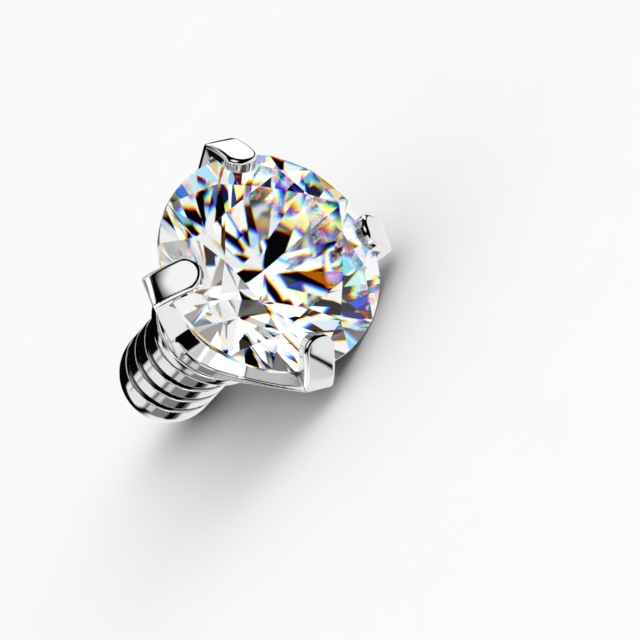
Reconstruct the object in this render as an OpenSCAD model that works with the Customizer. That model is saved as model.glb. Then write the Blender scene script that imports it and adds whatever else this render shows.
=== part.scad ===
// Piercing top: a round brilliant held by four prongs on a short threaded post.
// Each piece is drawn upright, with the girdle of the stone at height 0, its table up and the post down.
// It is then laid on its side as it lies on a table: on the edge of the stone and the tip of the post,
// with a prong's heel on either side just clear of the table.

/* [Stone] */
// Diameter of the stone at its girdle
stone_d = 2.75; // [2.5:0.05:3]
// Width of the table across its corners, as a share of the diameter
table_share = 0.575; // [0.54:0.005:0.6]
// Slope of the kite facets of the crown
crown_slope = 36; // [34:0.5:38]
// Slope of the main facets of the pavilion
pavilion_slope = 41; // [40:0.5:42]
// Reach of the star facets, as a share of the way from the table to the girdle
star_share = 0.5; // [0.45:0.05:0.55]
// Reach of the lower facets, as a share of the way from the girdle to the culet
lower_share = 0.77; // [0.7:0.01:0.8]
// Height of the girdle where it is thinnest
girdle_h = 0.04; // [0.02:0.01:0.06]

/* [Prongs] */
// Width of a prong
prong_w = 0.41; // [0.35:0.01:0.45]
// Thickness of a prong over the crown
prong_t = 0.175; // [0.1:0.005:0.18]
// Reach of a prong's tip inwards from the edge of the stone
prong_reach = 0.245; // [0.2:0.005:0.3]
// Reach of a prong's heel outwards from the edge of the stone
heel_reach = 0.25; // [0.22:0.01:0.3]
// Depth of the heel's back corner behind the girdle
heel_depth = 0.03; // [0:0.01:0.06]
// Width of the rounded strip between the heel's back corner and the prong's face
heel_strip = 0.045; // [0.03:0.005:0.06]
// Gap between the stone and its seat
seat_gap = 0.02; // [0.01:0.005:0.03]

/* [Arms and hub] */
// Thickness of an arm
arm_t = 0.25; // [0.2:0.01:0.3]
// Slope of an arm's flat back, measured from the plane of the girdle
arm_slope = 60; // [58:1:62]
// Width of an arm at the depth of the arch's crown
arm_root_w = 0.69; // [0.6:0.01:0.72]
// Radius of the arch between two arms
arch_r = 0.56; // [0.5:0.01:0.6]
// Depth of the arch's crown behind the girdle
arch_depth = 1.375; // [1.36:0.005:1.4]
// Lean of the arch's sides
arch_lean = 24; // [20:1:28]
// Depth at which the hub's cone begins between the arms, as a share of the arch's depth
cone_share = 0.7; // [0.65:0.05:0.75]
// Height of the arms' inner ends over the boss's back face
arm_end_h = 0.03; // [0.02:0.01:0.05]
// Diameter of the round boss behind the arms, and of the collar
boss_d = 1.54; // [1.5:0.01:1.6]
// Depth of the boss's back face behind the girdle
boss_depth = 1.65; // [1.62:0.01:1.75]

/* [Threaded post] */
// Diameter over the thread's crests
thread_d = 1.2; // [1.1:0.05:1.25]
// Distance from one groove of the thread to the next
thread_pitch = 0.325; // [0.3:0.005:0.34]
// Number of grooves
groove_count = 4; // [3:1:4]
// Width of a groove at its mouth
groove_w = 0.08; // [0.06:0.01:0.1]
// Depth of a groove
groove_depth = 0.06; // [0.04:0.01:0.08]
// Distance from the collar to the middle of the first groove
first_groove = 0.185; // [0.15:0.005:0.2]
// Distance from the middle of the last groove to the dome
tip_band = 0.2; // [0.15:0.01:0.25]
// Thickness of the collar
collar_h = 0.245; // [0.2:0.005:0.3]
// Radius of the collar's rounded edge
collar_round = 0.09; // [0.05:0.01:0.12]
// Diameter of the spigot that enters the boss
spigot_d = 0.6; // [0.5:0.05:0.65]
// Length of the spigot
spigot_h = 0.18; // [0.12:0.01:0.2]
// Gap between the post and the boss
seam_gap = 0.015; // [0.01:0.005:0.02]

/* [Hidden] */
$fn = 96;

// Facets: eight round the stone for each kind, so half a step and a quarter step between their directions
facet_step = 45;
half_step = facet_step / 2;
quarter_step = facet_step / 4;

// Stone: the crown above the girdle
stone_r = stone_d / 2;
table_r = stone_r * table_share;
table_reach = table_r * cos(half_step);
star_r = table_reach + star_share * (stone_r - table_reach);
upper_rise = (stone_r - star_r * cos(half_step)) * tan(crown_slope);
upper_slope = atan(upper_rise / ((stone_r - star_r) * cos(quarter_step)));
scallop = stone_r * (1 - cos(quarter_step));
crown_edge_z = girdle_h / 2 + scallop * tan(upper_slope);
table_z = crown_edge_z + (stone_r - table_r) * tan(crown_slope);
star_z = crown_edge_z + upper_rise;
star_slope = atan((table_z - star_z) / (star_r - table_reach));

// Stone: the pavilion below the girdle
lower_r = stone_r * (1 - lower_share);
lower_rise = (stone_r - lower_r * cos(half_step)) * tan(pavilion_slope);
lower_slope = atan(lower_rise / ((stone_r - lower_r) * cos(quarter_step)));
pavilion_edge_z = -girdle_h / 2 - scallop * tan(lower_slope);
culet_z = pavilion_edge_z - stone_r * tan(pavilion_slope);

// Prong: its face lies parallel to the kite facet that it holds
function crown_z(r) = crown_edge_z + (stone_r - r) * tan(crown_slope);
function under_z(r) = crown_z(r) + seat_gap / cos(crown_slope);
function face_z(r) = under_z(r) + prong_t / cos(crown_slope);
heel_r = stone_r + heel_reach;
bend_r = heel_r - heel_strip;
tip_r = stone_r - prong_reach;
seat_r = stone_r + seat_gap;

// Arm: its back and its inner side are two parallel slopes, and its seat follows the pavilion
function back_r(z) = heel_r + (z + heel_depth) / tan(arm_slope);
function inner_r(z) = back_r(z) - arm_t / sin(arm_slope);
function seat_z(r) = pavilion_edge_z - (stone_r - r) * tan(pavilion_slope) - seat_gap / cos(pavilion_slope);
seat_end_r = (inner_r(0) + seat_z(0) / tan(arm_slope)) / (1 - tan(pavilion_slope) / tan(arm_slope));

// Hub: a cone in line with the arms' backs, with a floor just below the culet
boss_r = boss_d / 2;
hub_top_z = -cone_share * arch_depth;
hub_floor_z = culet_z - 2 * seat_gap;
hub_base_z = -heel_depth - (heel_r - boss_r) * tan(arm_slope);
root_z = arm_end_h - boss_depth;
arch_z = arch_r - arch_depth;

// Post
thread_r = thread_d / 2;
collar_z = -boss_depth - seam_gap;
thread_z = collar_z - collar_h;
dome_z = thread_z - first_groove - (groove_count - 1) * thread_pitch - tip_band;
arc_step = 7.5;

// Resting pose: the slope of the axis when the girdle's back edge and the dome touch the table
girdle_span = -dome_z + pavilion_edge_z;
rest_span = norm([stone_r, girdle_span]);
rest_slope = atan(stone_r / girdle_span) - asin(thread_r / rest_span);
rest_height = stone_r * cos(rest_slope) - pavilion_edge_z * sin(rest_slope);
front_y = -table_r * sin(rest_slope) - table_z * cos(rest_slope);
back_y = -dome_z * cos(rest_slope) + thread_r;

// Lays an upright piece down in its resting pose, the table facing front and the post to the back
module at_rest() {
    translate([0, -(front_y + back_y) / 2, rest_height])
        rotate([90 - rest_slope, 0, 0])
            children();
}

// One ring of eight facets, as a pyramid whose facets pass through the given reach at height z
module facet_ring(turn, reach, z, slope) {
    drop = 2 * stone_r;
    wide = reach + drop / tan(slope);
    rise = reach * tan(slope);
    translate([0, 0, z - drop])
        rotate(turn + half_step)
            cylinder(r1 = wide / cos(half_step), r2 = 0, h = drop + rise, $fn = 8);
}

module facet_ring_below(turn, reach, z, slope) {
    mirror([0, 0, 1])
        facet_ring(turn, reach, -z, slope);
}

module stone() {
    color([0.9, 0.95, 1])
        at_rest()
            hull()
                intersection() {
                    translate([0, 0, culet_z])
                        rotate(180 / $fn)
                            cylinder(r = stone_r / cos(180 / $fn), h = table_z - culet_z);
                    facet_ring(0, stone_r, crown_edge_z, crown_slope);
                    facet_ring(half_step, table_reach, table_z, star_slope);
                    facet_ring(quarter_step, stone_r, girdle_h / 2, upper_slope);
                    facet_ring(-quarter_step, stone_r, girdle_h / 2, upper_slope);
                    facet_ring_below(0, stone_r, pavilion_edge_z, pavilion_slope);
                    facet_ring_below(quarter_step, stone_r, -girdle_h / 2, lower_slope);
                    facet_ring_below(-quarter_step, stone_r, -girdle_h / 2, lower_slope);
                }
}

// An arm's side view: radius to the right, height up
arm_profile = [
    [heel_r, -heel_depth],
    [bend_r, face_z(bend_r)],
    [tip_r, face_z(tip_r)],
    [tip_r - prong_t * sin(crown_slope), face_z(tip_r) - prong_t * cos(crown_slope)],
    [seat_r, under_z(seat_r)],
    [seat_r, seat_z(seat_r)],
    [seat_end_r, seat_z(seat_end_r)],
    [inner_r(root_z), root_z],
    [back_r(root_z), root_z]
];

// An arm's view from outside: as wide as the prong down to the girdle, and wider towards the hub
arm_spread = (arm_root_w - prong_w) / 2 / arch_depth;
arm_front = [
    [prong_w / 2, stone_r],
    [prong_w / 2, 0],
    [prong_w / 2 + arm_spread * boss_depth, -boss_depth],
    [-prong_w / 2 - arm_spread * boss_depth, -boss_depth],
    [-prong_w / 2, 0],
    [-prong_w / 2, stone_r]
];

// What is left of a prong's end once its two corners are rounded off
module prong_outline() {
    reach = 2 * stone_r;
    translate([tip_r, 0, face_z(tip_r)])
        rotate([0, crown_slope, 0])
            translate([prong_w / 2, 0, -reach / 2]) {
                cylinder(r = prong_w / 2, h = reach);
                translate([0, -prong_w, 0])
                    cube([reach, 2 * prong_w, reach]);
            }
    translate([0, -stone_r, -2 * stone_r])
        cube([2 * stone_r, 2 * stone_r, 2 * stone_r]);
}

// One arm with its heel and prong, reaching out along X
module arm() {
    intersection() {
        rotate([90, 0, 0])
            linear_extrude(arm_root_w * 2, center = true)
                polygon(arm_profile);
        rotate([90, 0, 90])
            linear_extrude(2 * stone_r)
                polygon(arm_front);
        prong_outline();
    }
}

// The arch between two arms, cut straight through along X
module arch() {
    mouth_h = 2 * stone_r;
    side = arch_r * [cos(arch_lean), -sin(arch_lean)];
    mouth = side + mouth_h * [sin(arch_lean), cos(arch_lean)];
    rotate([90, 0, 90])
        linear_extrude(3 * stone_r, center = true)
            translate([0, arch_z]) {
                circle(r = arch_r);
                polygon([side, mouth, [-mouth[0], mouth[1]], [-side[0], side[1]]]);
            }
}

// The hub with its four arches and the socket for the spigot
module hub() {
    difference() {
        rotate_extrude()
            polygon([
                [0, hub_floor_z],
                [inner_r(hub_floor_z), hub_floor_z],
                [inner_r(hub_top_z), hub_top_z],
                [back_r(hub_top_z), hub_top_z],
                [boss_r, hub_base_z],
                [boss_r, -boss_depth],
                [0, -boss_depth]
            ]);
        arch();
        rotate(90)
            arch();
        translate([0, 0, -boss_depth - seam_gap])
            cylinder(d = spigot_d + 2 * seam_gap, h = spigot_h + 2 * seam_gap);
    }
}

module prong_head() {
    color([0.8, 0.81, 0.83])
        at_rest()
            union() {
                hub();
                for (turn = [45 : 90 : 315])
                    rotate(turn)
                        arm();
            }
}

// Half the post's outline, from the top of the spigot round to the tip of the dome
post_outline = [
    [0, collar_z + spigot_h],
    [spigot_d / 2, collar_z + spigot_h],
    [spigot_d / 2, collar_z],
    [boss_r, collar_z],
    for (a = [0 : arc_step : 90])
        [boss_r - collar_round * (1 - cos(a)), thread_z + collar_round * (1 - sin(a))],
    [thread_r, thread_z],
    for (i = [0 : groove_count - 1])
        let (z = thread_z - first_groove - i * thread_pitch)
            for (corner = [[0, groove_w / 2], [groove_depth, 0], [0, -groove_w / 2]])
                [thread_r - corner[0], z + corner[1]],
    for (a = [0 : arc_step : 90])
        [thread_r * cos(a), dome_z - thread_r * sin(a)]
];

module threaded_post() {
    color([0.72, 0.73, 0.75])
        at_rest()
            rotate_extrude()
                polygon(post_outline);
}

stone();
prong_head();
threaded_post();
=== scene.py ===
import math

import bmesh
import bpy
import numpy as np
from mathutils import Matrix, Vector


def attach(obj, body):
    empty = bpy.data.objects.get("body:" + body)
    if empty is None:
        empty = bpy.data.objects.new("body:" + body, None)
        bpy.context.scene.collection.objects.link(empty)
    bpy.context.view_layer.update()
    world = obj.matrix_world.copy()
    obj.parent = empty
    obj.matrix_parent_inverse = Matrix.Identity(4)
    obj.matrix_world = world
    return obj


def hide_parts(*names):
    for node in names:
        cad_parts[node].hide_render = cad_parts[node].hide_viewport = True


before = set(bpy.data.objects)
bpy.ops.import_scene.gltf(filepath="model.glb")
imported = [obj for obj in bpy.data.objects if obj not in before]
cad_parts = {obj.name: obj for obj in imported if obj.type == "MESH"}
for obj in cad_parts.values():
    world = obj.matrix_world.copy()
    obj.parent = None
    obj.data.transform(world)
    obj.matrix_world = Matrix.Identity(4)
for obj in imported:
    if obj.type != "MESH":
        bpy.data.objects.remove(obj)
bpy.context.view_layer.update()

# Sizes of the stone, in millimetres and degrees
STONE_R = 1.375
TABLE_R = 0.575 * STONE_R
CROWN_SLOPE = 36
PAVILION_SLOPE = 41
STAR_SHARE = 0.5
LOWER_SHARE = 0.77
GIRDLE_H = 0.04
GIRDLE_SIDES = 240
BLANK_H = 4

# Spread of the facets' angles in degrees, and the seed of its random draws
CUT_SPREAD = 0.12
CUT_SEED = 7

# A face of the stone that faces up or down by less than this belongs to the girdle
GIRDLE_LEAN = 0.1

# Sizes of the prongs
PRONG_W = 0.41
PRONG_T = 0.175
TIP_R = STONE_R - 0.245
HEEL_R = STONE_R + 0.25
HEEL_DEPTH = 0.03
HEEL_STRIP = 0.045
SEAT_GAP = 0.02
PRONG_CROWN_R = 2.2
DROOP_START = 0.2
DROOP_R = 1.3

# Sizes of the arms and the hub
ARM_T = 0.25
ARM_SLOPE = 60
ARM_ROOT_W = 0.69
ARM_FLARE = 1.2
ARCH_DEPTH = 1.375
FLARE_END = 1.2
WEB_SINK = 0.035
WEB_LEAN = 60
HUB_FLOOR = -1.36
BOSS_TOP = -1.45
BOSS_R = 0.77
BOSS_DEPTH = 1.65
SEAM_GAP = 0.015

# Radii of the head's rounded edges and fillets
ARM_EDGE = 0.022
PRONG_EDGE = 0.05
BACK_EDGE = 0.02
FACE_EDGE = 0.012
BEND_EDGE = 0.05
SEAT_EDGE = 0.022
BOSS_EDGE = 0.03
WEB_FILLET = 0.03
BOSS_FILLET = 0.02
SIDE_ROUND = 0.3
WEB_ROUND = 0.3
FLOOR_ROUND = 0.12

# Depth over which the edges of the prongs change into those of the arms
EDGE_CHANGE = 0.4

# The grid that the head's surface is found on, how often its points are then moved onto the surface, and
# the least slope, squared, that such a move counts with
GRID_STEP = 0.0167
GRID_PARTS = 24
SETTLE_ROUNDS = 4
LEAST_SLOPE = 0.2

# How far in front of the head's surface other metal makes a recess of it, which the steel paints darker as
# shade
RECESS_REACHES = (0.05, 0.16)

# The hidden inside of the head, which the steel paints darker as shade and makes rougher: how far a face
# turns inwards or upwards, and the radius of the floor
INNER_TURN = 0.3
FLOOR_R = 0.5

# Sizes of the threaded post
THREAD_R = 0.6
THREAD_PITCH = 0.325
GROOVE_W = 0.11
GROOVE_DEPTH = 0.06
FIRST_GROOVE = -2.095
COLLAR_FRONT = -1.665
COLLAR_BACK = -1.91
COLLAR_ROUND = 0.09
COLLAR_RIM = 0.03
SPIGOT_R = 0.3
SPIGOT_TOP = -1.485
SPIGOT_EDGE = 0.02
ROOT_FILLET = 0.03
DOME_Z = -3.27
THREAD_START = COLLAR_BACK - 0.04
THREAD_END = DOME_Z + 0.06
RUN_OUT = 0.1
POST_SIDES = 208
RING_STEP = 0.008
DOME_RINGS = 34

# How far a point may be off the thread's radius and still count as lying on the shank
SHANK_TOLERANCE = 1e-4

# The resting pose of the part's source
REST_SLOPE = math.radians(13.233158)
REST_Y = -1.572814
REST_Z = 1.348550
MM = 0.001

# The photograph's view: where the stone's middle lies in it, the stone's radius there and the focal length
STONE_PIXEL = (269.5, 263.5)
STONE_R_PIXELS = 118
PHOTO_SIZE = 640
FOCAL_PIXELS = 6400
SENSOR_W = 36
VIEW_DISTANCE = 54 * STONE_R * MM

# The view's directions for the upright piece: two level ones, towards the view and across it, then the
# shares of towards and up in the way back to the camera, and of across, towards and up in the way right
TOWARDS = (-0.9578, 0.2874, 0)
ACROSS = (-0.2874, -0.9578, 0)
BACK_SHARES = (0.5446, 0.8387)
RIGHT_SHARES = (0.725, -0.576, 0.377)

# The table's light: an even sky, and a brighter side of it with its azimuth and elevation
SKY = 0.85
KEY_LIGHT = (40, 45)
KEY_STRENGTH = 2.1
KEY_FOCUS = 8

# What the camera sees behind the table, and the light of the parts of the room that hold nothing
BACKDROP = (0.88, 0.88, 0.885, 1)
DARK_ROOM = 0.002

# Soft boxes that the stone bends into view, and those that the metal mirrors. The columns are azimuth,
# elevation, half width and half height in degrees, softness of the edge, and strength
BOX_WHITE = (1, 0.995, 0.985, 1)
STONE_BOXES = [
    (-22, 50, 28, 15, 0.10, 1.15),
    (-100, 58, 24, 8, 0.06, 0.2),
    (104, 13, 28, 14, 0.03, 1.3),
    (-159, 2, 13, 13, 0.08, 1.25),
    (-122, 20, 24, 14, 0.05, 1.2),
    (-168, 27, 14, 9, 0.05, 0.28),
    (36, 36, 14, 20, 0.03, 1.2),
    (-76, 18, 18, 22, 0.04, 0.9),
    (0, 12, 12, 12, 0.03, 1.2),
]
METAL_BOXES = [
    (-30, 53, 20, 17, 0.14, 1.08),
    (-126, 52, 3.5, 12, 0.02, 1.2),
    (104, 13, 28, 14, 0.03, 1.3),
    (-159, 2, 13, 11, 0.06, 0.95),
    (-122, 20, 24, 14, 0.05, 1.2),
    (-164, 30, 10, 7, 0.05, 0.6),
    (-88, -6, 27, 24, 0.10, 0.87),
    (128, 36, 15, 11, 0.06, 0.9),
    (178, 66, 22, 12, 0.15, 0.9),
    (-154, 42, 17, 6, 0.12, 0.6),
    (-166.5, 17, 3.2, 4.5, 0.03, 0.85),
    (-144, -16, 6, 4, 0.04, 0.7),
]

# The pale card that the metal mirrors in place of the table: how far down it starts, the softness of its
# edge and its strength. The dark places in it have the same columns as the soft boxes
CARD_START = 0.34
CARD_BLUR = 0.06
CARD_STRENGTH = 0.95
LOW_SHADES = [
    (-136, -54, 18.5, 11, 0.03, 1.0),
    (-102, -38, 8, 8, 0.12, 0.3),
    (-151, -29, 10, 12, 0.08, 0.75),
    (-22, -54, 1.3, 22, 0.02, 0.92),
    (-31, -55, 8, 20, 0.10, 0.2),
    (-165, -40, 6, 5, 0.04, 0.9),
]


def tan(degrees):
    return math.tan(math.radians(degrees))


def sin(degrees):
    return math.sin(math.radians(degrees))


def cos(degrees):
    return math.cos(math.radians(degrees))


def lay_down(points):
    """Upright millimetres to the frame's metres, in the resting pose."""
    x, y, z = np.asarray(points, float).T
    s, c = math.sin(REST_SLOPE), math.cos(REST_SLOPE)
    return np.column_stack([x, y * s - z * c + REST_Y, y * c + z * s + REST_Z]) * MM


def lay_down_directions(directions):
    x, y, z = np.asarray(directions, float).T
    s, c = math.sin(REST_SLOPE), math.cos(REST_SLOPE)
    return np.column_stack([x, y * s - z * c, y * c + z * s])


class Wire:
    """One output of a node. Arithmetic on it adds Math nodes to the same tree."""

    def __init__(self, bench, socket):
        self.bench = bench
        self.socket = socket

    def math(self, operation, *others):
        node = self.bench.add("ShaderNodeMath", {"operation": operation}, dict(enumerate([self, *others])))
        return node["Value"]

    def __add__(self, other):
        return self.math("ADD", other)

    __radd__ = __add__

    def __mul__(self, other):
        return self.math("MULTIPLY", other)

    __rmul__ = __mul__

    def __sub__(self, other):
        return self.math("SUBTRACT", other)

    def __rsub__(self, other):
        return self.math("MULTIPLY_ADD", -1, other)

    def __truediv__(self, other):
        return self.math("DIVIDE", other)

    def __abs__(self):
        return self.math("ABSOLUTE")

    def at_least(self, level):
        return self.math("MAXIMUM", level)

    def at_most(self, level):
        return self.math("MINIMUM", level)

    def above(self, level, blur):
        """0 below the level and 1 above it, with a soft step between."""
        limits = {"Value": self, "From Min": level - blur, "From Max": level + blur}
        return self.bench.add("ShaderNodeMapRange", {"interpolation_type": "SMOOTHSTEP"}, limits)["Result"]


class Node:
    """A node whose outputs are read as wires, by name or number."""

    def __init__(self, bench, node):
        self.bench = bench
        self.node = node

    def __getitem__(self, name):
        return Wire(self.bench, self.node.outputs[name])


class Bench:
    """A node tree of a material, the world or a modifier, built from nothing."""

    def __init__(self, tree):
        self.tree = tree
        tree.nodes.clear()

    def add(self, kind, settings=None, inputs=None):
        node = self.tree.nodes.new(kind)
        for name, value in (settings or {}).items():
            setattr(node, name, value)
        for name, value in (inputs or {}).items():
            if isinstance(value, Wire):
                self.tree.links.new(value.socket, node.inputs[name])
            else:
                node.inputs[name].default_value = value
        return Node(self, node)

    def vector(self, operation, *values):
        """The result of a Vector Math node: its Vector, or its Value for a dot product or a length."""
        result = "Value" if operation in ("DOT_PRODUCT", "LENGTH") else "Vector"
        return self.add("ShaderNodeVectorMath", {"operation": operation}, dict(enumerate(values)))[result]

    def blend(self, share, first, second):
        """A colour between two colours."""
        settings = {"data_type": "RGBA"}
        return self.add("ShaderNodeMix", settings, {"Factor": share, 6: first, 7: second})[2]

    def mix(self, share, first, second):
        """A shader between two shaders."""
        return self.add("ShaderNodeMixShader", None, {0: share, 1: first, 2: second})["Shader"]

    def attribute(self, name):
        return self.add("ShaderNodeAttribute", {"attribute_name": name})["Fac"]

    def upright(self):
        """The upright millimetres of each point, so that a pattern follows the piece and not the table."""
        place = self.add("ShaderNodeTexCoord")["Object"]
        settings = {"vector_type": "TEXTURE"}
        inputs = {
            "Vector": place,
            "Location": (0, REST_Y * MM, REST_Z * MM),
            "Rotation": (math.pi / 2 - REST_SLOPE, 0, 0),
            "Scale": (MM, MM, MM),
        }
        return self.add("ShaderNodeMapping", settings, inputs)["Vector"]

    def noise(self, place, scale, detail, stretch=None):
        if stretch:
            place = self.vector("MULTIPLY", place, stretch)
        inputs = {"Vector": place, "Scale": scale, "Detail": detail}
        return self.add("ShaderNodeTexNoise", {"noise_dimensions": "3D"}, inputs)["Fac"]

    def bump(self, height, strength, distance, normal=None):
        inputs = {"Height": height, "Strength": strength, "Distance": distance}
        if normal:
            inputs["Normal"] = normal
        return self.add("ShaderNodeBump", None, inputs)["Normal"]


def new_material(name):
    material = bpy.data.materials.new(name)
    material.use_nodes = True
    return material, Bench(material.node_tree)


def add_object(name, mesh, material):
    piece = bpy.data.objects.new(name, mesh)
    bpy.context.scene.collection.objects.link(piece)
    mesh.materials.clear()
    mesh.materials.append(material)
    return piece


def stand_in_for(piece, node):
    """The piece takes the place of a CAD node."""
    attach(piece, "root")
    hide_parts(node)


# Materials

# The two finishes of the steel: its colour, the stretch of its hairlines along X, Y and Z, and the tone and
# the amount of the dark colour in the recesses, which is partly residue and partly painted shade
CAST_FINISH = {
    "tint": (0.83, 0.835, 0.84),
    "hairlines": (46.0, 5.0, 12.0),
    "shade_and_residue_tone": 0.5,
    "shade_and_residue_amount": 0.6,
}
# The turned post's grooves are painted nearly black, mostly as painted shade
TURNED_FINISH = {
    "tint": (0.81, 0.815, 0.82),
    "hairlines": (0.6, 0.6, 60.0),
    "shade_and_residue_tone": 0.07,
    "shade_and_residue_amount": 2.5,
}

# The colours of the residue and painted shade in the recesses, and of smudges, on white metal
SHADE_AND_RESIDUE_TINT = (1, 0.96, 0.92)
SMUDGE_TINT = (0.93, 0.94, 0.97)

# How rough the clean polish is, and how much each kind of mark adds
POLISH = 0.028
ROUGHER = {"smudge": 0.035, "lines": 0.02, "recess": 0.12, "pits": 0.08, "inner": 0.3}

# How strongly the stone bends light, and the same for six bands of colour that add up to white
STONE_BENDING = 2.24
SPECTRUM = [
    ((2.26, 0.00, 0.00), 2.135),
    ((2.26, 1.08, 0.00), 2.177),
    ((1.25, 2.40, 0.00), 2.219),
    ((0.00, 2.04, 1.20), 2.265),
    ((0.00, 0.48, 2.67), 2.317),
    ((0.23, 0.00, 2.13), 2.373),
]

# The bending that the gloss on the stone's outside is worked out with, and the share of light that a face
# has to mirror on the inside to mirror at all
FACE_GLOSS = 1.5
WEAK_MIRROR = 0.3

# Roughness of the bruted girdle
GIRDLE_ROUGH = 0.12

# The table's two pale tones
TABLE_TONES = ((0.86, 0.86, 0.865, 1), (0.885, 0.885, 0.885, 1))


def shaded(tint, factors, shade=1):
    return (*(part * shade * factor for part, factor in zip(tint, factors)), 1)


def polished_steel(name, tint, hairlines, shade_and_residue_tone, shade_and_residue_amount):
    """Mirror polish with a faint wave, smudges, the wheel's hairlines, pits, and residue and painted shade
    in the recesses and inside.
    """
    material, bench = new_material(name)
    place = bench.upright()
    inputs = {"Vector": place, "Scale": 9.0}
    specks = bench.add("ShaderNodeTexVoronoi", {"feature": "F1"}, inputs)["Distance"]
    marks = {
        "smudge": bench.noise(place, 2.2, 4.0).above(0.56, 0.16),
        "lines": bench.noise(place, 1.0, 3.0, hairlines),
        "recess": bench.attribute("recess"),
        "pits": 1 - specks.above(0.07, 0.03),
        "inner": bench.attribute("inner"),
    }
    clean = bench.blend(marks["smudge"] * 0.25, (*tint, 1), shaded(tint, SMUDGE_TINT))
    # Residue and painted shade: the recesses, and the inside of the head, are painted darker
    shade_and_residue = marks["recess"] * shade_and_residue_amount + marks["inner"] * 0.7
    dark = shaded(tint, SHADE_AND_RESIDUE_TINT, shade_and_residue_tone)
    colour = bench.blend(shade_and_residue.at_most(1.0), clean, dark)
    roughness = sum((marks[kind] * share for kind, share in ROUGHER.items()), POLISH)
    low = bench.bump(bench.noise(place, 1.3, 1.0), 0.5, 4.0e-6)
    normal = bench.bump(marks["lines"] * 0.7 - marks["pits"] * 0.8, 0.3, 0.35e-6, low)
    inputs = {"Base Color": colour, "Metallic": 1.0, "Roughness": roughness, "Normal": normal}
    metal = bench.add("ShaderNodeBsdfPrincipled", None, inputs)["BSDF"]
    bench.add("ShaderNodeOutputMaterial", None, {"Surface": metal})
    return material


def clear_stone(name):
    """Cut zirconia. The first surface that a view ray meets splits it in six colours: that is the fire."""
    material, bench = new_material(name)
    normal = bench.bump(bench.noise(bench.upright(), 2.0, 1.0), 0.3, 0.8e-6)
    roughness = bench.attribute("girdle") * GIRDLE_ROUGH

    def bent(colour, bending):
        inputs = {"Color": (*colour, 1), "Roughness": roughness, "IOR": bending, "Normal": normal}
        return bench.add("ShaderNodeBsdfRefraction", None, inputs)["BSDF"]

    def mirrored(bending):
        return bench.add("ShaderNodeFresnel", None, {"IOR": bending, "Normal": normal})["Fac"]

    fire = bent(*SPECTRUM[0])
    for count, (colour, bending) in enumerate(SPECTRUM[1:], 2):
        fire = bench.mix(1 / count, fire, bent(colour, bending))
    inputs = {"Color": (1, 1, 1, 1), "Roughness": roughness, "Normal": normal}
    gloss = bench.add("ShaderNodeBsdfAnisotropic", None, inputs)["BSDF"]
    outside = bench.mix(mirrored(FACE_GLOSS), fire, gloss)
    stays = ((mirrored(STONE_BENDING) - WEAK_MIRROR) / (1 - WEAK_MIRROR)).at_least(0.0)
    inside = bench.mix(stays, bent((1, 1, 1), STONE_BENDING), gloss)
    seen = bench.add("ShaderNodeLightPath")["Is Camera Ray"]
    bench.add("ShaderNodeOutputMaterial", None, {"Surface": bench.mix(seen, inside, outside)})
    return material


def pale_table(name):
    """A matt pale sheet. Mirror rays pass through it, so the metal mirrors the room's low card instead."""
    material, bench = new_material(name)
    place = bench.add("ShaderNodeTexCoord")["Object"]
    colour = bench.blend(bench.noise(place, 900, 3.0), *TABLE_TONES)
    inputs = {"Base Color": colour, "Roughness": 0.6, "Specular IOR Level": 0.2}
    sheet = bench.add("ShaderNodeBsdfPrincipled", None, inputs)["BSDF"]
    clear = bench.add("ShaderNodeBsdfTransparent")["BSDF"]
    paths = bench.add("ShaderNodeLightPath")
    mirrored = paths["Is Glossy Ray"] * paths["Is Reflection Ray"]
    bench.add("ShaderNodeOutputMaterial", None, {"Surface": bench.mix(mirrored, sheet, clear)})
    return material


# The stone: a disc cut by its facets

def facet_list():
    """Each facet as a turn round the axis, the radius and height of a point on it, and a slope that is
    negative below the girdle; then the heights of the crown's edge, the table and the pavilion's edge."""
    step = 45
    half, quarter = step / 2, step / 4
    table_reach = TABLE_R * cos(half)
    star_r = table_reach + STAR_SHARE * (STONE_R - table_reach)
    upper_rise = (STONE_R - star_r * cos(half)) * tan(CROWN_SLOPE)
    upper_slope = math.degrees(math.atan(upper_rise / ((STONE_R - star_r) * cos(quarter))))
    scallop = STONE_R * (1 - cos(quarter))
    crown_edge = GIRDLE_H / 2 + scallop * tan(upper_slope)
    table_z = crown_edge + (STONE_R - TABLE_R) * tan(CROWN_SLOPE)
    star_z = crown_edge + upper_rise
    star_slope = math.degrees(math.atan((table_z - star_z) / (star_r - table_reach)))
    lower_r = STONE_R * (1 - LOWER_SHARE)
    lower_rise = (STONE_R - lower_r * cos(half)) * tan(PAVILION_SLOPE)
    lower_slope = math.degrees(math.atan(lower_rise / ((STONE_R - lower_r) * cos(quarter))))
    pavilion_edge = -GIRDLE_H / 2 - scallop * tan(lower_slope)
    rings = [
        (0, STONE_R, crown_edge, CROWN_SLOPE),
        (half, table_reach, table_z, star_slope),
        (quarter, STONE_R, GIRDLE_H / 2, upper_slope),
        (-quarter, STONE_R, GIRDLE_H / 2, upper_slope),
        (0, STONE_R, pavilion_edge, -PAVILION_SLOPE),
        (quarter, STONE_R, -GIRDLE_H / 2, -lower_slope),
        (-quarter, STONE_R, -GIRDLE_H / 2, -lower_slope),
    ]
    facets = [(turn + step * k, reach, z, slope) for turn, reach, z, slope in rings for k in range(8)]
    return facets, crown_edge, table_z, pavilion_edge


FACETS, CROWN_EDGE, TABLE_Z, PAVILION_EDGE = facet_list()


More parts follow.
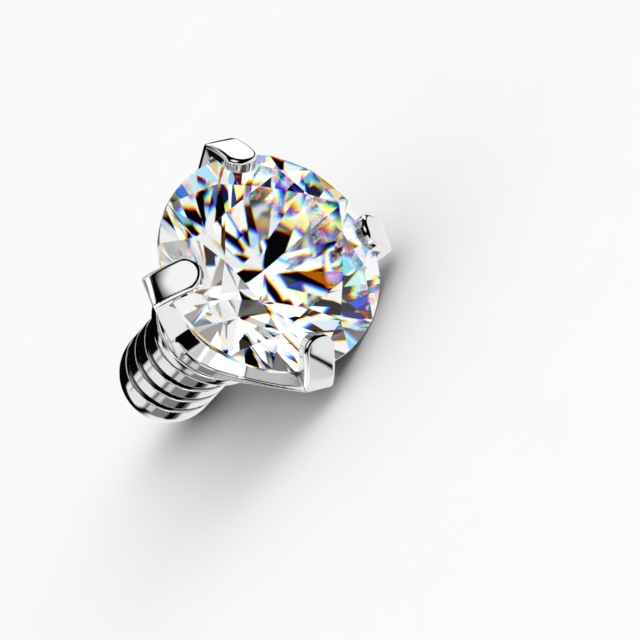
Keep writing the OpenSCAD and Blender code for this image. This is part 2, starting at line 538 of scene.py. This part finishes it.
def cut_stone():
    chance = np.random.default_rng(CUT_SEED)
    work = bmesh.new()
    blank = {"segments": GIRDLE_SIDES, "radius1": STONE_R, "radius2": STONE_R, "depth": BLANK_H}
    bmesh.ops.create_cone(work, cap_ends=True, **blank)
    cuts = [(Vector((0, 0, TABLE_Z)), Vector((0, 0, 1)))]
    for turn, reach, z, slope in FACETS:
        turn += chance.normal(0, CUT_SPREAD)
        lean = abs(slope) + chance.normal(0, CUT_SPREAD)
        side = math.copysign(1, slope)
        point = Vector((reach * cos(turn), reach * sin(turn), z))
        outward = Vector((sin(lean) * cos(turn), sin(lean) * sin(turn), side * cos(lean)))
        cuts.append((point, outward))
    for point, outward in cuts:
        everything = work.verts[:] + work.edges[:] + work.faces[:]
        plane = {"plane_co": point, "plane_no": outward}
        made = bmesh.ops.bisect_plane(work, geom=everything, dist=1e-6, clear_outer=True, **plane)
        rim = [e for e in made["geom_cut"] if isinstance(e, bmesh.types.BMEdge)]
        if rim:
            bmesh.ops.contextual_create(work, geom=rim)
    bmesh.ops.remove_doubles(work, verts=work.verts, dist=1e-5)
    bmesh.ops.recalc_face_normals(work, faces=work.faces)
    mesh = bpy.data.meshes.new("stone")
    work.normal_update()
    on_girdle = [abs(f.normal.z) < GIRDLE_LEAN for f in work.faces]
    work.to_mesh(mesh)
    work.free()
    mesh.polygons.foreach_set("use_smooth", on_girdle)
    mark = mesh.attributes.new("girdle", "FLOAT", "FACE")
    mark.data.foreach_set("value", np.array(on_girdle, float))
    rim_edges = np.zeros(len(mesh.edges), bool)
    edge_number = {e.key: e.index for e in mesh.edges}
    for polygon in mesh.polygons:
        if not on_girdle[polygon.index]:
            for key in polygon.edge_keys:
                rim_edges[edge_number[key]] = True
    sharp = mesh.attributes.new("sharp_edge", "BOOLEAN", "EDGE")
    sharp.data.foreach_set("value", rim_edges)
    place_points(mesh)
    return mesh


def place_points(mesh):
    """Lays a mesh that was made in upright millimetres down in the frame."""
    points = np.empty(len(mesh.vertices) * 3)
    mesh.vertices.foreach_get("co", points)
    mesh.vertices.foreach_set("co", lay_down(points.reshape(-1, 3)).ravel())
    mesh.update()


# The head: distances to its surface, negative inside the metal

def meet(a, b, r):
    """Metal where both are metal, with the edge between them rounded."""
    return np.minimum(-r, np.maximum(a, b)) + np.hypot(np.maximum(a + r, 0), np.maximum(b + r, 0))


def join(a, b, r):
    """Metal where either is metal, with a fillet in the corner between them."""
    return np.maximum(r, np.minimum(a, b)) - np.hypot(np.maximum(r - a, 0), np.maximum(r - b, 0))


# Heights and radii of the planes that the stone, its seats, the prongs and the arms have in common

def crown_z(r):
    return CROWN_EDGE + (STONE_R - r) * tan(CROWN_SLOPE)


def under_z(r):
    return crown_z(r) + SEAT_GAP / cos(CROWN_SLOPE)


def face_z(r):
    return under_z(r) + PRONG_T / cos(CROWN_SLOPE)


def back_r(z):
    return HEEL_R + (z + HEEL_DEPTH) / tan(ARM_SLOPE)


def inner_r(z):
    return back_r(z) - ARM_T / sin(ARM_SLOPE)


def seat_z(r):
    return PAVILION_EDGE - (STONE_R - r) * tan(PAVILION_SLOPE) - SEAT_GAP / cos(PAVILION_SLOPE)


def arm_half_width(z):
    down = np.clip(-z / ARCH_DEPTH, 0, FLARE_END)
    return PRONG_W / 2 + (ARM_ROOT_W - PRONG_W) / 2 * down ** ARM_FLARE


def opening_distance(out, aside, z):
    """The room between two arms, which gets wider outwards; out is measured along its middle."""
    half = arm_half_width(z)
    near_arm = half - (out - aside) * math.sqrt(0.5)
    far_arm = half - (out + aside) * math.sqrt(0.5)
    sides = meet(near_arm, far_arm, SIDE_ROUND)
    rim_r = back_r(-ARCH_DEPTH) - WEB_SINK
    web = (rim_r - out) * sin(WEB_LEAN) - (z + ARCH_DEPTH) * cos(WEB_LEAN)
    return meet(sides, web, WEB_ROUND)


def prong_distance(along, across, z):
    """The distances to the prongs' faces and heels and to their rounded tips, and the way from the tip."""
    bend_r = HEEL_R - HEEL_STRIP
    crown = across * across / (2 * PRONG_CROWN_R)
    from_tip = (along - TIP_R) * cos(CROWN_SLOPE) - (z - face_z(TIP_R)) * sin(CROWN_SLOPE)
    droop = np.maximum(from_tip - DROOP_START, 0) ** 2 / (2 * DROOP_R)
    face = (z - face_z(along)) * cos(CROWN_SLOPE) + crown + droop
    strip_slope = math.atan2(face_z(bend_r) + HEEL_DEPTH, HEEL_STRIP)
    strip = (along - HEEL_R) * math.sin(strip_slope) + (z + HEEL_DEPTH) * math.cos(strip_slope)
    tip = np.hypot(np.minimum(from_tip - PRONG_W / 2, 0), across) - PRONG_W / 2
    return meet(strip, face, BEND_EDGE), tip, from_tip


def room_distance(r, along, z):
    """The room of the stone between its seats, and of the bowl under it."""
    under = (z - under_z(along)) * cos(CROWN_SLOPE)
    seat = (seat_z(along) - z) * cos(PAVILION_SLOPE)
    stone_room = np.maximum(np.maximum(under, along - STONE_R - SEAT_GAP), seat)
    bowl = meet((r - inner_r(z)) * sin(ARM_SLOPE), HUB_FLOOR - z, FLOOR_ROUND)
    return np.minimum(stone_room, np.maximum(under, bowl))


def head_distance(points):
    """The distance of each point to the head's surface, worked out in one quarter of the head."""
    x, y, z = np.abs(points[:, 0]), np.abs(points[:, 1]), points[:, 2]
    r = np.hypot(x, y)
    along, across = (x + y) * math.sqrt(0.5), (x - y) * math.sqrt(0.5)
    top, tip, from_tip = prong_distance(along, across, z)
    arm_side = np.abs(across) - arm_half_width(z)
    flat_back = meet((along - back_r(z)) * sin(ARM_SLOPE), arm_side, BACK_EDGE)
    web_back = (r - back_r(z) + WEB_SINK) * sin(ARM_SLOPE)
    boss = np.maximum(r - BOSS_R, z - BOSS_TOP)
    outside = join(join(flat_back, web_back, WEB_FILLET), boss, BOSS_FILLET)
    openings = np.minimum(opening_distance(x, y, z), opening_distance(y, x, z))
    side = np.where(from_tip < PRONG_W / 2, tip, -openings)
    edge = ARM_EDGE + (PRONG_EDGE - ARM_EDGE) * np.clip(z / EDGE_CHANGE + 1, 0, 1)
    metal = meet(meet(outside, top, FACE_EDGE), side, edge)
    metal = meet(metal, -room_distance(r, along, z), SEAT_EDGE)
    metal = meet(metal, -BOSS_DEPTH - z, BOSS_EDGE)
    socket = np.maximum(r - SPIGOT_R - SEAM_GAP, z - SPIGOT_TOP - SEAM_GAP)
    return np.maximum(metal, -socket)


def surface_net(distance, low, high, step):
    """Points and quads on the surface where the distance is zero, on an even grid."""
    spans = [(math.floor(a / step) - 1, math.ceil(b / step) + 2) for a, b in zip(low, high)]
    axes = [np.arange(start, end) * step + step / 2 for start, end in spans]
    shape = [len(a) for a in axes]
    grid = np.stack(np.meshgrid(*axes, indexing="ij"), -1).reshape(-1, 3)
    value = np.concatenate([distance(part) for part in np.array_split(grid, GRID_PARTS)]).reshape(shape)
    metal = value < 0
    corners = [(i, j, k) for i in (0, 1) for j in (0, 1) for k in (0, 1)]

    def shifted(array, corner):
        return array[tuple(slice(c, n - 1 + c) for c, n in zip(corner, shape))]

    count = sum(shifted(metal, c).astype(np.int8) for c in corners)
    cells = np.argwhere((count > 0) & (count < 8))
    total = np.zeros((len(cells), 3))
    hits = np.zeros(len(cells))
    for a in corners:
        for k in range(3):
            if a[k] == 0:
                b = tuple(c + (i == k) for i, c in enumerate(a))
                va = value[tuple((cells + a).T)]
                vb = value[tuple((cells + b).T)]
                crossing = (va < 0) != (vb < 0)
                share = np.where(crossing, va / np.where(crossing, va - vb, 1), 0)
                point = np.tile(np.array(a, float), (len(cells), 1))
                point[:, k] += share
                total += point * crossing[:, None]
                hits += crossing
    origin = np.array([a[0] for a in axes])
    points = origin + (cells + total / hits[:, None]) * step
    number = np.full([n - 1 for n in shape], -1)
    number[tuple(cells.T)] = np.arange(len(cells))
    quads = []
    for k in range(3):
        i, j = (k + 1) % 3, (k + 2) % 3
        first = metal[tuple(slice(0, n - 1) if m == k else slice(0, n) for m, n in enumerate(shape))]
        second = metal[tuple(slice(1, n) if m == k else slice(0, n) for m, n in enumerate(shape))]
        edges = np.argwhere(first != second)
        outward = first[tuple(edges.T)]
        ring = []
        for di, dj in ((0, 0), (1, 0), (1, 1), (0, 1)):
            cell = edges.copy()
            cell[:, i] -= 1 - di
            cell[:, j] -= 1 - dj
            ring.append(number[tuple(cell.T)])
        quad = np.stack(ring, 1)
        quad[~outward] = quad[~outward, ::-1]
        quads.append(quad)
    return points, np.concatenate(quads)


def slopes(distance, points, reach=0.002):
    """How fast the distance changes along X, Y and Z at each point."""
    steps = np.eye(3) * reach
    change = np.stack([distance(points + s) - distance(points - s) for s in steps], 1)
    return change / (2 * reach)


def unit(vectors):
    return vectors / np.maximum(np.linalg.norm(vectors, axis=1, keepdims=True), 1e-9)


def cast_head():
    reach = (HEEL_R + PRONG_W / 2) * math.sqrt(0.5)
    low, high = (-reach, -reach, -BOSS_DEPTH), (reach, reach, face_z(TIP_R))
    points, quads = surface_net(head_distance, low, high, GRID_STEP)
    for _ in range(SETTLE_ROUNDS):
        slope = slopes(head_distance, points)
        size = np.maximum((slope * slope).sum(1), LEAST_SLOPE)
        points = points - slope * (head_distance(points) / size)[:, None]
    normals = unit(slopes(head_distance, points))
    # The recess mark grows where other metal stands close in front of the surface, as shade would; the steel
    # paints it darker as painted shade and residue
    near, far = [head_distance(points + normals * ahead) / ahead for ahead in RECESS_REACHES]
    recess = np.clip(1.0 - np.minimum(near, far), 0, 1)
    # Faces inside the head, below the stone, are marked to be painted darker as shade
    out = np.hypot(points[:, 0], points[:, 1])
    facing_in = -(normals[:, 0] * points[:, 0] + normals[:, 1] * points[:, 1]) / np.maximum(out, 1e-6)
    inner = np.clip(facing_in / INNER_TURN - 1, 0, 1) * (points[:, 2] < 0)
    inner = np.maximum(inner, (out < FLOOR_R) & (normals[:, 2] > INNER_TURN))
    mesh = bpy.data.meshes.new("prong_head")
    mesh.from_pydata(lay_down(points), [], quads.tolist())
    mesh.polygons.foreach_set("use_smooth", np.ones(len(quads), bool))
    for name, share in (("recess", recess), ("inner", inner)):
        mark = mesh.attributes.new(name, "FLOAT", "POINT")
        mark.data.foreach_set("value", share.astype(float))
    mesh.update()
    mesh.normals_split_custom_set_from_vertices(lay_down_directions(normals))
    return mesh


# The post: a turned blank, and a thread that Geometry Nodes cut into it

def arc(centre_r, centre_z, radius, start, end, count):
    """Points of a rounded edge; the angles are measured from straight outwards towards the dome."""
    turns = np.linspace(start, end, count)
    return [(centre_r + radius * cos(t), centre_z - radius * sin(t)) for t in turns]


def post_outline():
    """Radius and height of the post's rings, from the spigot's end to just before the dome's pole."""
    edge, rim, bead, root = SPIGOT_EDGE, COLLAR_RIM, COLLAR_ROUND, ROOT_FILLET
    rows = [(0.0, SPIGOT_TOP), (SPIGOT_R * 0.5, SPIGOT_TOP)]
    rows += arc(SPIGOT_R - edge, SPIGOT_TOP - edge, edge, -90, 0, 4)
    rows += [(SPIGOT_R, COLLAR_FRONT), (SPIGOT_R * 1.6, COLLAR_FRONT)]
    rows += arc(BOSS_R - rim, COLLAR_FRONT - rim, rim, -90, 0, 7)
    rows += arc(BOSS_R - bead, COLLAR_BACK + bead, bead, 0, 90, 10)
    for out, down in ((1, 0), (0.3, 0.3), (0, 1)):
        rows.append((THREAD_R + root * out, COLLAR_BACK - root * down))
    rows += [(THREAD_R, z) for z in np.arange(THREAD_START, DOME_Z + root, -RING_STEP)]
    rows += arc(0, DOME_Z, THREAD_R, 0, 90, DOME_RINGS)[:-1]
    return rows


def turn_blank():
    n = POST_SIDES
    turns = np.arange(n) * 2 * math.pi / n
    rings = post_outline()[1:]
    points = [(0, 0, SPIGOT_TOP)]
    points += [(r * math.cos(t), r * math.sin(t), z) for r, z in rings for t in turns]
    points.append((0, 0, DOME_Z - THREAD_R))
    after = [(k + 1) % n for k in range(n)]
    faces = [(0, 1 + k, 1 + after[k]) for k in range(n)]
    for ring in range(len(rings) - 1):
        a, b = 1 + ring * n, 1 + (ring + 1) * n
        faces += [(a + k, b + k, b + after[k], a + after[k]) for k in range(n)]
    end = 1 + (len(rings) - 1) * n
    faces += [(end + k, len(points) - 1, end + after[k]) for k in range(n)]
    mesh = bpy.data.meshes.new("post_blank")
    mesh.from_pydata(points, [], faces)
    mesh.polygons.foreach_set("use_smooth", np.ones(len(faces), bool))
    mesh.update()
    return mesh


def thread_cutter(material, sizes):
    """Sinks a right handed V groove into a blank that stands along Z. Each size is an input of the tree."""
    tree = bpy.data.node_groups.new("thread_cutter", "GeometryNodeTree")
    bench = Bench(tree)
    tree.interface.new_socket("Geometry", in_out="INPUT", socket_type="NodeSocketGeometry")
    for name in sizes:
        tree.interface.new_socket(name, in_out="INPUT", socket_type="NodeSocketFloat")
    tree.interface.new_socket("Geometry", in_out="OUTPUT", socket_type="NodeSocketGeometry")
    given = bench.add("NodeGroupInput")
    spot = bench.add("GeometryNodeInputPosition")["Position"]
    parts = bench.add("ShaderNodeSeparateXYZ", None, {0: spot})
    turns = parts["Y"].math("ARCTAN2", parts["X"]) / (2 * math.pi)
    phase = (parts["Z"] - given["First groove"]) / given["Pitch"] - turns
    off_groove = abs((phase + 0.5).math("FLOORED_MODULO", 1.0) - 0.5) * given["Pitch"]
    cut = (1 - off_groove / (given["Groove width"] * 0.5)).at_least(0.0)
    from_start = ((given["Thread start"] - parts["Z"]) / given["Run out"]).at_least(0.0).at_most(1.0)
    from_end = ((parts["Z"] - given["Thread end"]) / given["Run out"]).at_least(0.0).at_most(1.0)
    sideways = bench.vector("MULTIPLY", spot, (1, 1, 0))
    off_shank = abs(bench.vector("LENGTH", sideways) - THREAD_R)
    on_shank = off_shank.math("LESS_THAN", SHANK_TOLERANCE)
    depth = cut * given["Groove depth"] * from_start * from_end * on_shank
    sinking = {0: bench.vector("NORMALIZE", sideways), "Scale": depth * -1}
    shift = bench.add("ShaderNodeVectorMath", {"operation": "SCALE"}, sinking)["Vector"]
    kind = {"data_type": "FLOAT", "domain": "POINT"}
    # The groove mark: the post's steel paints the grooves nearly black with it, as painted shade and residue
    mark = {"Geometry": given["Geometry"], "Name": "recess", "Value": depth / given["Groove depth"]}
    marked = bench.add("GeometryNodeStoreNamedAttribute", kind, mark)["Geometry"]
    cut_mesh = bench.add("GeometryNodeSetPosition", None, {"Geometry": marked, "Offset": shift})["Geometry"]
    real = bench.add("GeometryNodeRealizeInstances", None, {"Geometry": cut_mesh})["Geometry"]
    done = bench.add("GeometryNodeSetMaterial", None, {"Geometry": real, "Material": material})["Geometry"]
    bench.add("NodeGroupOutput", None, {0: done})
    return tree


def groove_start():
    """Height of the helix at angle 0 that puts a groove at FIRST_GROOVE on the side that faces the view."""
    view = view_axes()[2]
    c, s = math.cos(REST_SLOPE), math.sin(REST_SLOPE)
    angle = math.atan2(view.y * s + view.z * c, view.x)
    return FIRST_GROOVE - THREAD_PITCH * angle / (2 * math.pi)


def thread_post(material):
    blank = add_object("post_blank", turn_blank(), material)
    sizes = {
        "Pitch": THREAD_PITCH,
        "Groove width": GROOVE_W,
        "Groove depth": GROOVE_DEPTH,
        "First groove": groove_start(),
        "Thread start": THREAD_START,
        "Thread end": THREAD_END,
        "Run out": RUN_OUT,
    }
    tree = thread_cutter(material, sizes)
    cutter = blank.modifiers.new("thread", "NODES")
    cutter.node_group = tree
    for socket in tree.interface.items_tree:
        if socket.in_out == "INPUT" and socket.name in sizes:
            cutter[socket.identifier] = sizes[socket.name]
    evaluated = blank.evaluated_get(bpy.context.evaluated_depsgraph_get())
    mesh = bpy.data.meshes.new_from_object(evaluated)
    bpy.data.objects.remove(blank)
    mesh.name = "threaded_post"
    place_points(mesh)
    return mesh


# Camera, table and light

def view_axes():
    """Right, up and backward directions of the photograph's view, with its roll."""
    levels = np.array([ACROSS, TOWARDS, (0, 0, 1)])
    directions = np.array([(0, *BACK_SHARES), RIGHT_SHARES]) @ levels
    back, right = [Vector(way) for way in lay_down_directions(directions)]
    back.normalize()
    right = (right - back * right.dot(back)).normalized()
    return right, back.cross(right), back


def add_camera():
    right, up, back = view_axes()
    stone = Vector(lay_down([(0, 0, 0)])[0])
    pixel = STONE_R * MM / STONE_R_PIXELS
    middle = PHOTO_SIZE / 2
    target = stone + right * (middle - STONE_PIXEL[0]) * pixel + up * (STONE_PIXEL[1] - middle) * pixel
    data = bpy.data.cameras.new("view")
    data.sensor_width = SENSOR_W
    data.lens = SENSOR_W * FOCAL_PIXELS / PHOTO_SIZE
    data.clip_start = VIEW_DISTANCE / 20
    data.clip_end = VIEW_DISTANCE * 40
    camera = bpy.data.objects.new("view", data)
    turn = Matrix((right, up, back)).transposed().to_4x4()
    camera.matrix_world = Matrix.Translation(target + back * VIEW_DISTANCE) @ turn
    bpy.context.scene.collection.objects.link(camera)
    bpy.context.scene.camera = camera


def add_table():
    half = 0.4
    corners = [(-half, -half, 0), (half, -half, 0), (half, half, 0), (-half, half, 0)]
    mesh = bpy.data.meshes.new("table")
    mesh.from_pydata(corners, [], [(0, 1, 2, 3)])
    table = add_object("table", mesh, pale_table("pale_table"))


def compass(azimuth, elevation):
    """The direction of a place in the room, with the camera's own measure of azimuth."""
    return Vector((sin(azimuth) * cos(elevation), -cos(azimuth) * cos(elevation), sin(elevation)))


def light_room():
    """A room that differs by kind of ray: the camera sees the backdrop, matt surfaces the soft sky, mirror
    rays the metal's soft boxes and the low card, and rays that the stone bends its own soft boxes."""
    world = bpy.data.worlds.new("studio")
    bpy.context.scene.world = world
    world.use_nodes = True
    bench = Bench(world.node_tree)
    way = bench.add("ShaderNodeTexCoord")["Generated"]

    def softbox(azimuth, elevation, half_w, half_h, blur, strength):
        middle = compass(azimuth, elevation)
        across = Vector((0, 0, 1)).cross(middle).normalized()
        upward = middle.cross(across)
        depth = bench.vector("DOT_PRODUCT", way, middle)
        ahead = depth.at_least(0.01)
        u = abs(bench.vector("DOT_PRODUCT", way, across) / ahead)
        v = abs(bench.vector("DOT_PRODUCT", way, upward) / ahead)
        inside = (tan(half_w) - u).above(0, blur) * (tan(half_h) - v).above(0, blur)
        return inside * depth.above(0.02, 0.02) * strength

    def all_of(places):
        boxes = [softbox(*place) for place in places]
        return sum(boxes[1:], boxes[0])

    down = bench.vector("DOT_PRODUCT", way, Vector((0, 0, -1)))
    unshaded = (1 - all_of(LOW_SHADES)).at_least(0.0)
    low_card = down.above(CARD_START, CARD_BLUR) * unshaded * CARD_STRENGTH
    stone_room = all_of(STONE_BOXES) + DARK_ROOM
    metal_room = all_of(METAL_BOXES) + low_card + DARK_ROOM
    near_key = bench.vector("DOT_PRODUCT", way, compass(*KEY_LIGHT)).at_least(0.0)
    sky = SKY + near_key.math("POWER", KEY_FOCUS) * KEY_STRENGTH
    paths = bench.add("ShaderNodeLightPath")

    def background(colour, strength):
        return bench.add("ShaderNodeBackground", None, {"Color": colour, "Strength": strength})["Background"]

    stone_light = background(BOX_WHITE, stone_room)
    metal_light = background(BOX_WHITE, metal_room)
    lit = bench.mix(paths["Is Reflection Ray"], stone_light, metal_light)
    lit = bench.mix(paths["Is Diffuse Ray"], lit, background((1, 1, 1, 1), sky))
    lit = bench.mix(paths["Is Camera Ray"], lit, background(BACKDROP, 1.0))
    bench.add("ShaderNodeOutputWorld", None, {"Surface": lit})
    world.cycles.sampling_method = "NONE"


def set_light_paths():
    """Enough bounces for the light's long ways through the stone."""
    bounces = 28
    scene = bpy.context.scene
    scene.view_settings.view_transform = "Standard"
    scene.cycles.max_bounces = bounces
    scene.cycles.glossy_bounces = bounces
    scene.cycles.transmission_bounces = bounces
    scene.cycles.caustics_reflective = False
    scene.cycles.caustics_refractive = False


head_steel = polished_steel("head_steel", **CAST_FINISH)
post_steel = polished_steel("post_steel", **TURNED_FINISH)

stone = add_object("round_brilliant", cut_stone(), clear_stone("clear_stone"))
stand_in_for(stone, "stone")

head = add_object("prong_setting", cast_head(), head_steel)
stand_in_for(head, "prong_head")

post = add_object("post_with_thread", thread_post(post_steel), post_steel)
stand_in_for(post, "threaded_post")

add_table()
add_camera()
light_room()
set_light_paths()
